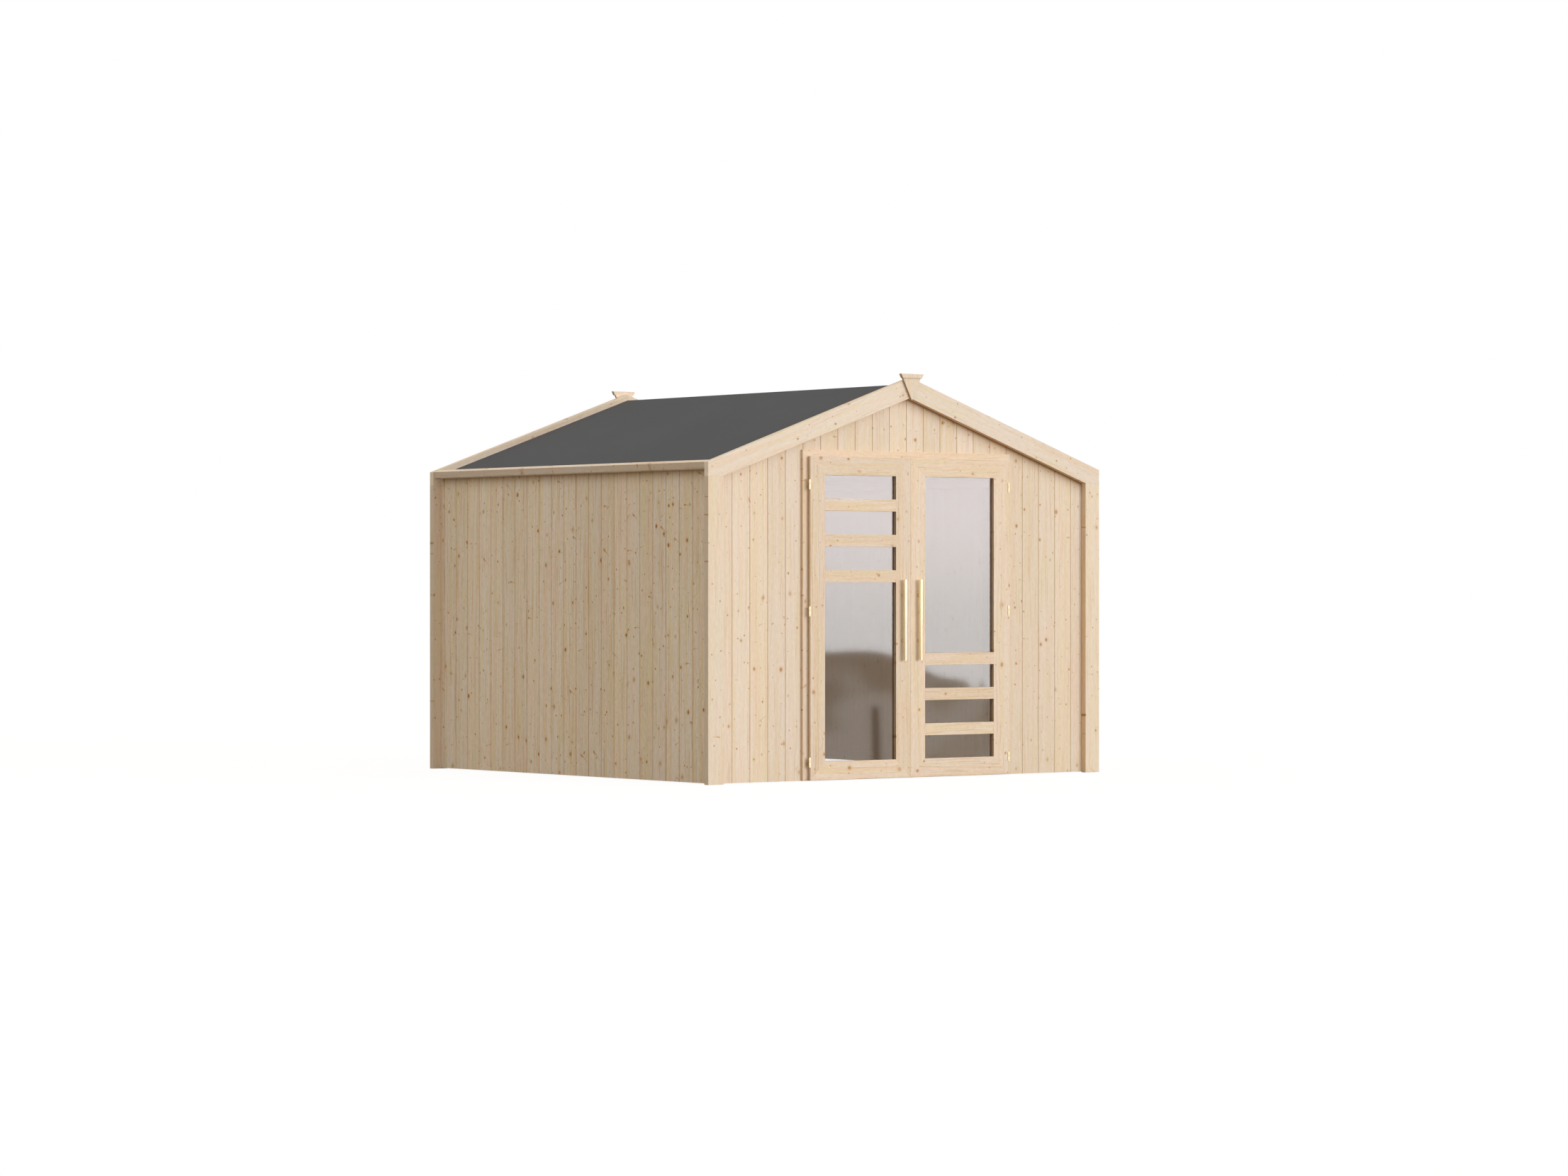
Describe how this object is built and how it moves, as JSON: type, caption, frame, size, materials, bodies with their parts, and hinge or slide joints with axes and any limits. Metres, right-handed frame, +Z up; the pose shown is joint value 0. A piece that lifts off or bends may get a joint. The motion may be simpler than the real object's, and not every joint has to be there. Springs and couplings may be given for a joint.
{
  "type": "garden shed",
  "caption": "Timber garden shed with a shallow felted gable roof and a pair of glazed doors in its front gable wall.",
  "frame": {"origin": "bottom centre of the overall box, on the ground, with the doors closed", "axes": "the front with the doors faces -Y, +Z is up, and +X is to the right for someone facing the doors"},
  "size_m": [3.114, 3.1424, 2.5103],
  "materials": {
    "wall_boards": "unpainted planed softwood boards with small knots",
    "trim_boards": "unpainted planed softwood",
    "joinery": "unpainted planed softwood, mitred and glazed",
    "framing_timber": "planed softwood framing",
    "roofing_felt": "mineral-faced bitumen felt, fine grit",
    "brass": "polished",
    "glass": "clear float glass"
  },
  "bodies": {
    "shed": {"front_wall_left": "wall_boards", "front_wall_right": "wall_boards", "front_gable": "wall_boards", "back_wall": "wall_boards", "left_wall": "wall_boards", "right_wall": "wall_boards", "front_framing": "framing_timber", "back_framing": "framing_timber", "left_framing": "framing_timber", "right_framing": "framing_timber", "front_left_post": "trim_boards", "front_right_post": "trim_boards", "back_left_post": "trim_boards", "back_right_post": "trim_boards", "front_left_bargeboard": "trim_boards", "front_right_bargeboard": "trim_boards", "back_left_bargeboard": "trim_boards", "back_right_bargeboard": "trim_boards", "left_eave_board": "trim_boards", "right_eave_board": "trim_boards", "left_roof_deck": "framing_timber", "right_roof_deck": "framing_timber", "left_roof_felt": "roofing_felt", "right_roof_felt": "roofing_felt", "roof_purlins": "framing_timber", "front_finial": "trim_boards", "back_finial": "trim_boards", "door_jambs": "joinery", "door_head": "joinery", "door_sill": "joinery", "casing_hinges": "brass"},
    "left_door": {"left_door_stiles": "joinery", "left_door_rails": "joinery", "left_door_bars": "joinery", "left_door_glass": "glass", "left_door_handle": "brass", "left_door_hinges": "brass"},
    "right_door": {"right_door_stiles": "joinery", "right_door_rails": "joinery", "right_door_bars": "joinery", "right_door_glass": "glass", "right_door_handle": "brass", "right_door_hinges": "brass"}
  },
  "joints": [
    {"name": "left_door_hinge", "type": "hinge", "parent": "shed", "child": "left_door", "pos_m": [-0.793, -1.53575, 1.039], "axis": [0, 0, -1], "range_deg": [0, 165]},
    {"name": "right_door_hinge", "type": "hinge", "parent": "shed", "child": "right_door", "pos_m": [0.793, -1.53575, 1.039], "axis": [0, 0, 1], "range_deg": [0, 165]}
  ]
}
